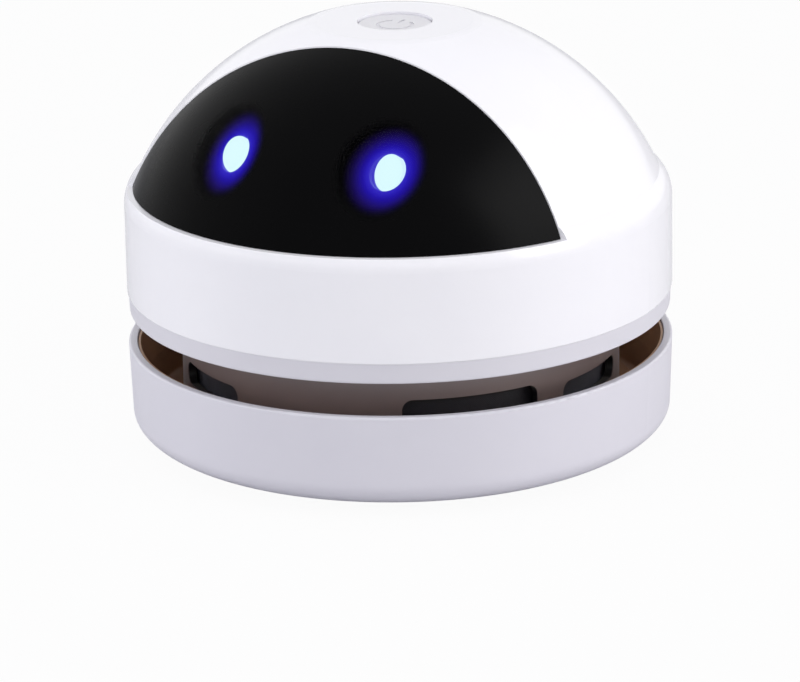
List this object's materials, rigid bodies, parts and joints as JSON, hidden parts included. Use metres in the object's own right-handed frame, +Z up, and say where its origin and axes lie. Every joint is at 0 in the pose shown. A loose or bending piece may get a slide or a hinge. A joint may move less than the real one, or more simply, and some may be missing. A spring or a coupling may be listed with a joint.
{
  "type": "desktop vacuum cleaner",
  "caption": "Dome-shaped desktop mini vacuum cleaner: twist-lock base with dust cup, exhaust gap, dark visor with two lit ovals and a push button on top.",
  "frame": {"origin": "centre of the footprint at the desk face of the feet", "axes": "+Z up, -Y out of the visor, +X to the object's left as it faces the viewer's right"},
  "size_m": [0.086, 0.086, 0.067],
  "materials": {
    "shell_white": "gloss",
    "cover_grey": "satin",
    "visor_black": "gloss",
    "baffle_black": "matte",
    "lens_clear": "gloss",
    "led_white": "satin",
    "board_green": "satin",
    "chip_black": "matte",
    "smoke_brown": "gloss",
    "smoke_grey": "gloss",
    "frame_dark": "matte",
    "mesh_blue": "woven",
    "plate_white": "satin",
    "tuft_nylon": "bristle",
    "rubber_grey": "matte",
    "steel": "brushed",
    "socket_steel": "polished",
    "bush_bronze": "satin",
    "magnet_ferrite": "matte",
    "lead_red": "satin",
    "cell_wrap": "gloss",
    "fan_white": "satin",
    "button_grey": "satin"
  },
  "bodies": {
    "base": {"base_shell": "cover_grey", "rubber_feet": "rubber_grey", "dust_cup": "smoke_brown", "intake_plate": "plate_white", "brush_tufts": "tuft_nylon", "plate_screws": "steel"},
    "drum": {"filter_drum": "smoke_grey", "filter_screen": "frame_dark", "screen_mesh": "mesh_blue"},
    "head": {"upper_shell": "shell_white", "visor": "visor_black", "lower_cover": "cover_grey", "drum_seal": "rubber_grey", "cover_screws": "steel", "visor_mask": "baffle_black", "eye_lens_left": "lens_clear", "eye_lens_right": "lens_clear", "eye_board": "board_green", "eye_leds": "led_white", "eye_board_screws": "steel", "motor_can": "steel", "front_bush": "bush_bronze", "rear_bush": "bush_bronze", "motor_magnets": "magnet_ferrite", "motor_end_cap": "baffle_black", "motor_terminals": "bush_bronze", "motor_damper": "rubber_grey", "motor_screws": "steel", "motor_leads": "lead_red", "battery_cell": "cell_wrap", "battery_cradle": "plate_white", "cell_contacts": "steel", "charge_board": "board_green", "charge_socket": "socket_steel", "charge_chips": "chip_black", "switch_board": "board_green", "switch_screws": "steel", "switch_body": "chip_black"},
    "fan": {"motor_shaft": "steel", "armature": "steel", "impeller": "fan_white"},
    "button": {"power_button": "button_grey", "button_spring": "steel"},
    "plunger": {"switch_plunger": "button_grey"}
  },
  "joints": [
    {"name": "head_turn", "type": "hinge", "parent": "base", "child": "drum", "pos_m": [0, 0, 0.0127], "axis": [0, 0, 1], "range_deg": [-24, 0]},
    {"name": "head_lift", "type": "slide", "parent": "drum", "child": "head", "axis": [0, 0, 1], "range_m": [0, 0.045]},
    {"name": "fan_spin", "type": "hinge", "parent": "head", "child": "fan", "pos_m": [0, 0, 0.0284], "axis": [0, 0, 1], "continuous": true},
    {"name": "button_press", "type": "slide", "parent": "head", "child": "button", "axis": [0, 0, -1], "range_m": [0, 0.0007], "stiffness_N_per_m": 1500, "springref_m": -0.0003, "deforming": ["button_spring"]},
    {"name": "plunger_press", "type": "slide", "parent": "head", "child": "plunger", "axis": [0, 0, -1], "range_m": [0, 0.0007]}
  ],
  "couplings": [
    {"joint": "plunger_press", "follows": "button_press", "ratio": 1}
  ]
}
